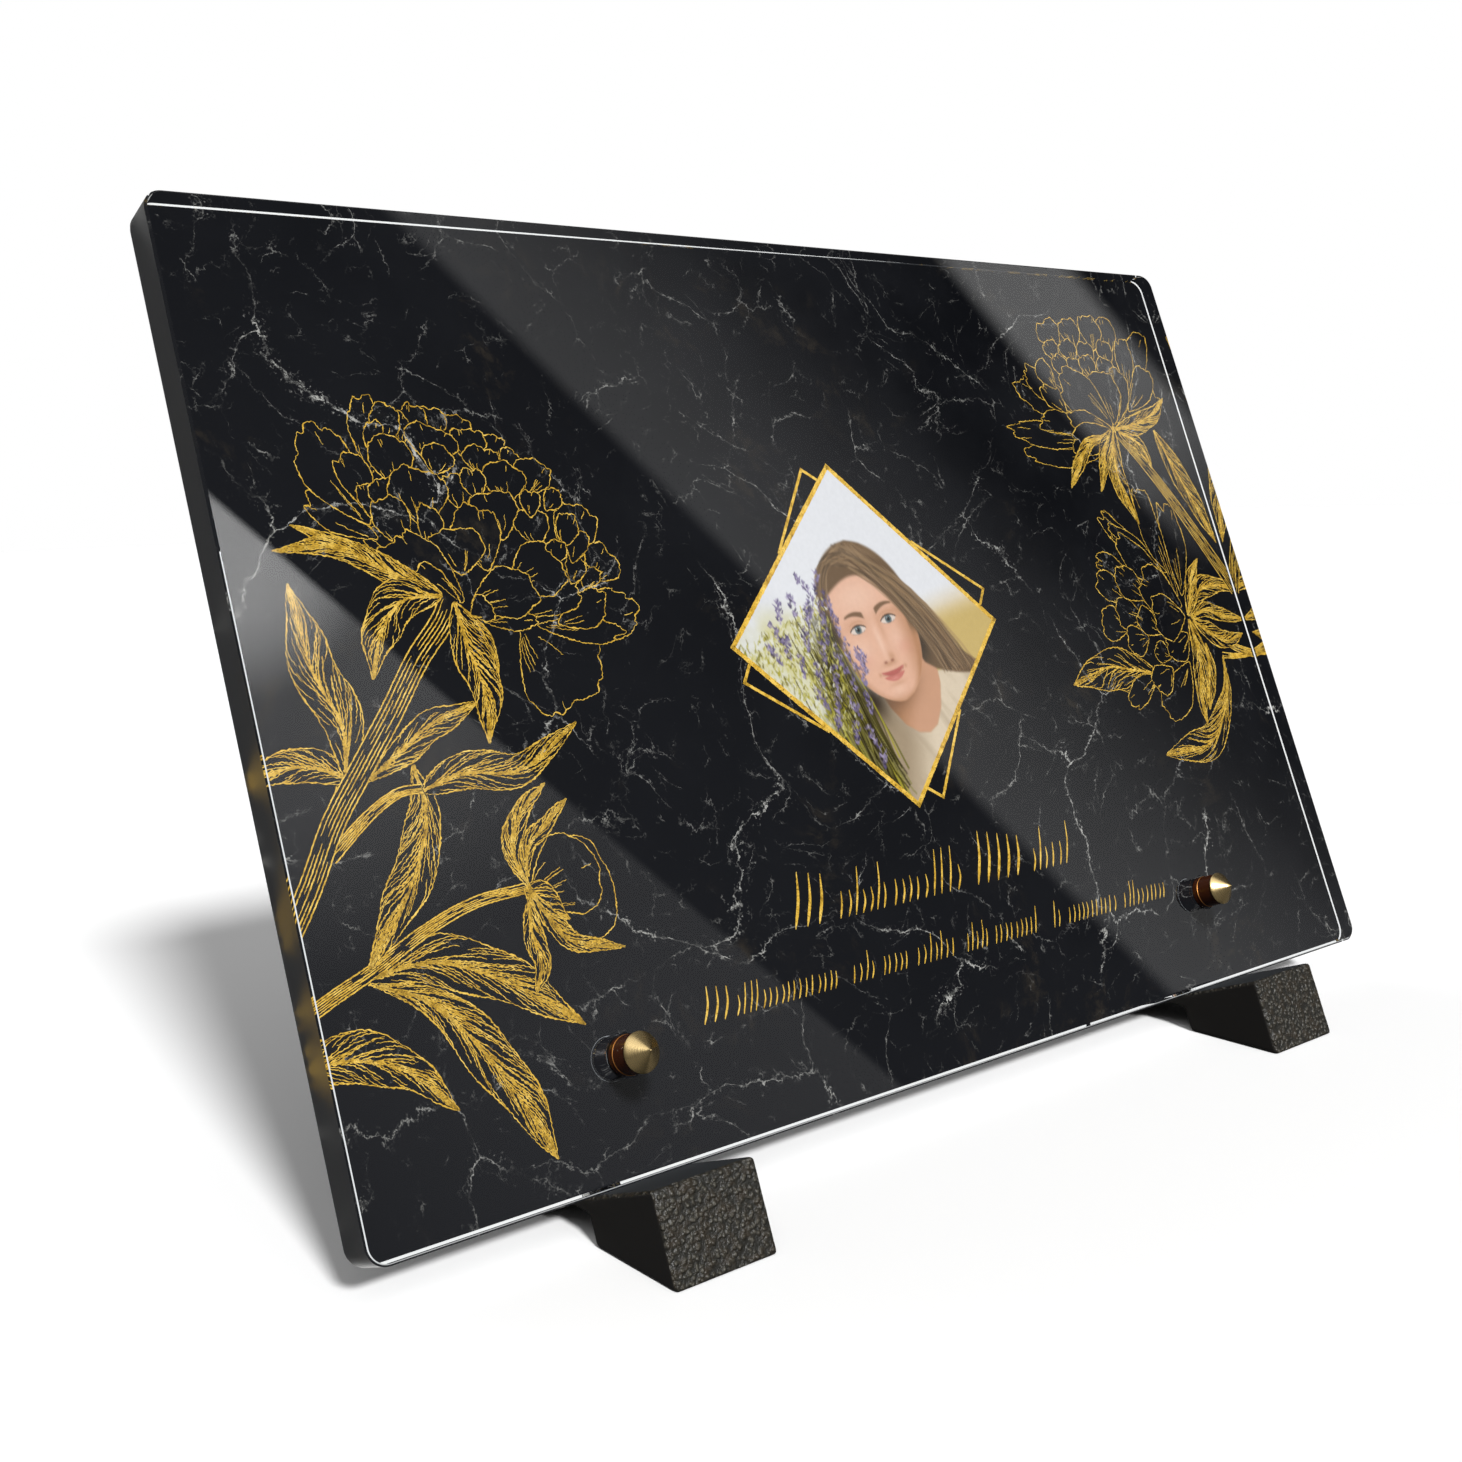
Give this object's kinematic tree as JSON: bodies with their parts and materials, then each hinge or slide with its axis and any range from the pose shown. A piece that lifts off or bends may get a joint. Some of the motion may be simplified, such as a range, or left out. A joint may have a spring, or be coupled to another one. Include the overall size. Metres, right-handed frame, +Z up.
{
  "type": "grave plaque",
  "caption": "Leaning memorial plaque: a clear acrylic slab with a dark marble print behind it, pinned with brass cone pins to stone feet.",
  "frame": {"origin": "on the ground under the middle of the whole object", "axes": "+X to the right along the slab, +Z up, the printed front faces -Y and leans back"},
  "size_m": [0.3, 0.1008, 0.1988],
  "materials": {
    "clear_acrylic": "clear polished acrylic with polished edges",
    "printed_film": "black marble print with gold drawing, seen through the slab",
    "brass": "turned and polished",
    "dark_stone": "dark granite with a pebbled surface, smooth on the ledge"
  },
  "bodies": {
    "root": {"clear_slab": "clear_acrylic", "printed_film": "printed_film", "pin_left": "brass", "pin_right": "brass", "foot_left": "dark_stone", "foot_right": "dark_stone"}
  },
  "joints": []
}
